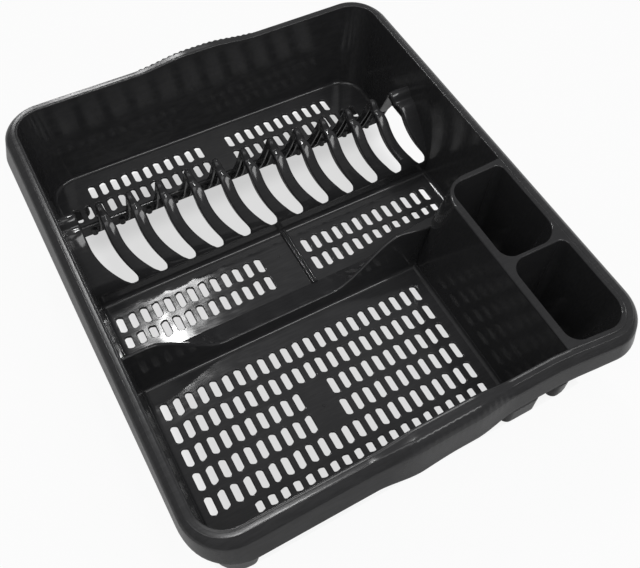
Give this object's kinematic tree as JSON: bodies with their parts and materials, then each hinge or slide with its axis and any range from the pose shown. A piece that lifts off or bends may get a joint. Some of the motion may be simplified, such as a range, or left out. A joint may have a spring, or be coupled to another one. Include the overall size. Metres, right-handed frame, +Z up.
{
  "type": "dish drainer",
  "caption": "Deep black moulded dish drainer tray with slotted floors, a curved plate rack, a wavy divider, corner cutlery pockets and grips in the rim.",
  "frame": {"origin": "on the table under the middle of the tray, at the level of the feet's soles", "axes": "+Z up, +X to the right, -Y towards the front where the cup bay and cutlery pockets are"},
  "size_m": [0.4136, 0.4664, 0.1417],
  "materials": {
    "plastic": "black moulded plastic, satin to glossy"
  },
  "bodies": {
    "root": {"back_floor_left": "plastic", "back_floor_right": "plastic", "back_lip": "plastic", "divider": "plastic", "drain_rib": "plastic", "foot_back_left": "plastic", "foot_back_right": "plastic", "foot_front_inner": "plastic", "foot_front_left": "plastic", "foot_front_right": "plastic", "front_floor": "plastic", "middle_floor_left": "plastic", "middle_floor_right": "plastic", "pocket_back": "plastic", "pocket_front": "plastic", "pocket_shell": "plastic", "rack_arm_01": "plastic", "rack_arm_02": "plastic", "rack_arm_03": "plastic", "rack_arm_04": "plastic", "rack_arm_05": "plastic", "rack_arm_06": "plastic", "rack_arm_07": "plastic", "rack_arm_08": "plastic", "rack_arm_09": "plastic", "rack_arm_10": "plastic", "rack_arm_11": "plastic", "rack_arm_12": "plastic", "rack_arm_13": "plastic", "rack_base": "plastic", "rim_back": "plastic", "rim_front": "plastic", "rim_left": "plastic", "rim_right": "plastic", "wall_back": "plastic", "wall_front": "plastic", "wall_left": "plastic", "wall_right": "plastic"}
  },
  "joints": []
}
